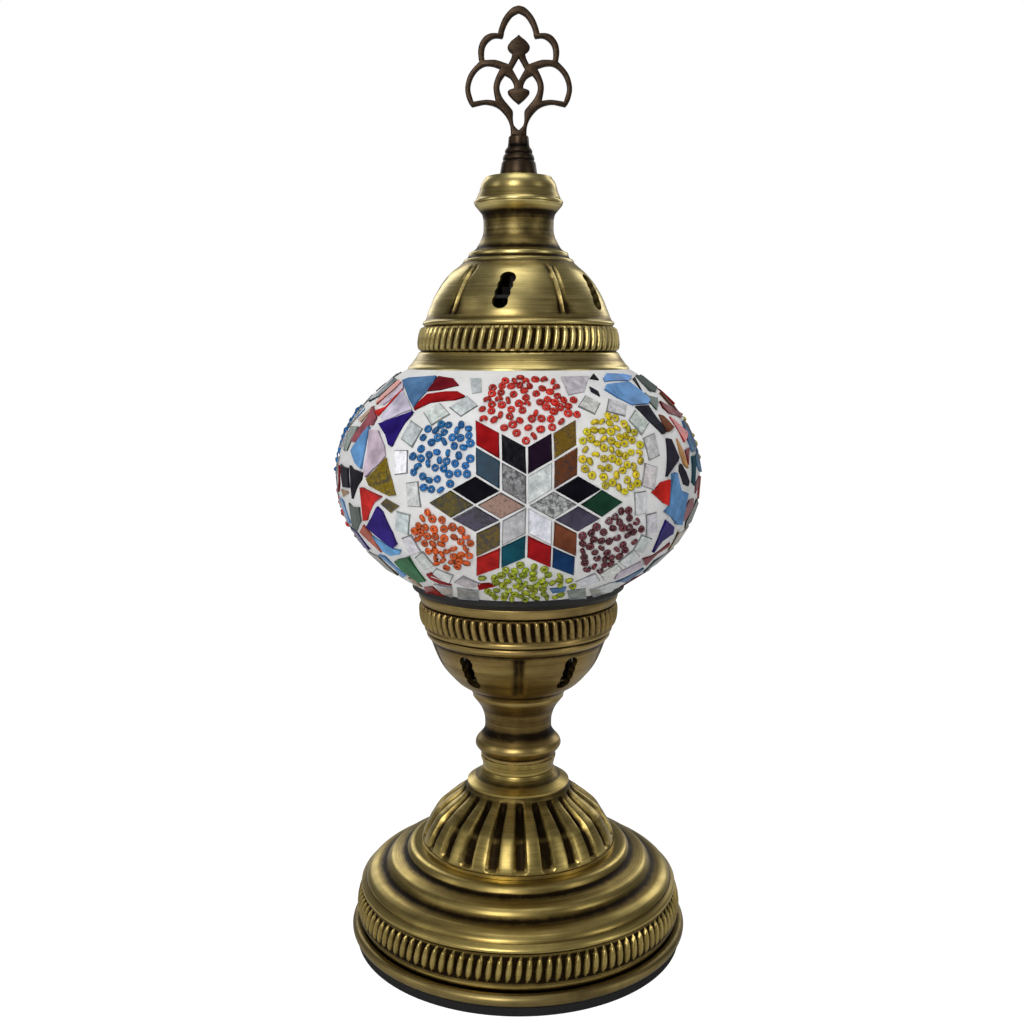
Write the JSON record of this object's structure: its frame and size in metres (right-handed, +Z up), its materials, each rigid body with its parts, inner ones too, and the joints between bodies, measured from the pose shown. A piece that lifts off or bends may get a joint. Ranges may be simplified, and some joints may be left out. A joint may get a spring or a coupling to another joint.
{
  "type": "mosaic glass table lamp",
  "caption": "Turkish-style table lamp: a mosaic covered glass globe held between lobed brass cups, on a fluted spun-brass foot, with a pierced finial.",
  "frame": {"origin": "on the table under the lamp's axis", "axes": "+Z up along the lamp's axis, -Y towards the front, where the first medallion and the crest's flat face are, +X to the viewer's right"},
  "size_m": [0.131, 0.1313, 0.3344],
  "materials": {
    "antique_brass": "spun and brushed, dark patina in the recesses",
    "dark_brass": "spun, darkened",
    "bronze": "cast, dark bronze patina",
    "pipe_brass": "bright drawn",
    "steel": "zinc plated",
    "bulb_metal": "rolled thread",
    "iron": "as cast, painted",
    "felt": "pressed felt",
    "rubber": "matt",
    "holder_black": "moulded, satin",
    "globe_glass": "blown clear",
    "bulb_glass": "clear",
    "filament": "phosphor coated rods",
    "grout": "fine white grout, wiped smooth",
    "mosaic_glass": "hand-cut stained glass, many colours",
    "clear_tiles": "hand-cut clear and frosted glass",
    "seed_beads": "small glass beads, one colour a cluster"
  },
  "bodies": {
    "lamp": {"felt_pad": "felt", "base_plate": "dark_brass", "base_washer": "steel", "base_nut": "steel", "base_weight": "iron", "base_shell": "antique_brass", "foot_gallery": "antique_brass", "cord_grommet": "rubber", "fluted_dome": "antique_brass", "lamp_pipe": "pipe_brass", "stem_collar": "antique_brass", "stem_vase": "antique_brass", "cup_shell": "antique_brass", "cup_gallery": "antique_brass", "cup_washer": "steel", "cup_nut": "steel", "harp": "steel", "stud": "steel", "stud_nuts": "steel", "socket_base": "steel", "socket_body": "holder_black", "socket_contact": "pipe_brass", "socket_screw_shell": "pipe_brass", "bottom_gasket": "rubber"},
    "bulb_base": {"bulb_cap": "bulb_metal", "bulb_tip": "bulb_metal"},
    "bulb": {"bulb_glass": "bulb_glass", "filament_stem": "bulb_glass", "led_filaments": "filament"},
    "globe": {"globe_glass": "globe_glass", "mosaic_bed": "grout", "star_tiles": "mosaic_glass", "border_tiles": "clear_tiles", "bead_clusters": "seed_beads", "field_tiles": "mosaic_glass"},
    "cap": {"top_gasket": "rubber", "cap_shell": "antique_brass", "cap_gallery": "antique_brass", "cap_collar": "antique_brass"},
    "finial_washer": {"finial_washer": "dark_brass"},
    "finial": {"finial": "bronze"}
  },
  "joints": [
    {"name": "globe_lift", "type": "slide", "parent": "lamp", "child": "globe", "axis": [0, 0, 1], "range_m": [0, 0.157]},
    {"name": "cap_lift", "type": "slide", "parent": "globe", "child": "cap", "axis": [0, 0, 1], "range_m": [0, 0.08]},
    {"name": "finial_rise", "type": "slide", "parent": "cap", "child": "finial_washer", "axis": [0, 0, 1], "range_m": [0, 0.006]},
    {"name": "finial_turn", "type": "hinge", "parent": "finial_washer", "child": "finial", "pos_m": [0, 0, 0.2785], "axis": [0, 0, 1], "range_deg": [0, 2160]},
    {"name": "bulb_rise", "type": "slide", "parent": "lamp", "child": "bulb_base", "axis": [0, 0, 1], "range_m": [0, 0.0113]},
    {"name": "bulb_turn", "type": "hinge", "parent": "bulb_base", "child": "bulb", "pos_m": [0, 0, 0.138], "axis": [0, 0, 1], "range_deg": [0, 1440]}
  ],
  "couplings": [
    {"joint": "finial_rise", "follows": "finial_turn", "m_per_rad": 0.000159},
    {"joint": "bulb_rise", "follows": "bulb_turn", "m_per_rad": 0.000449}
  ]
}
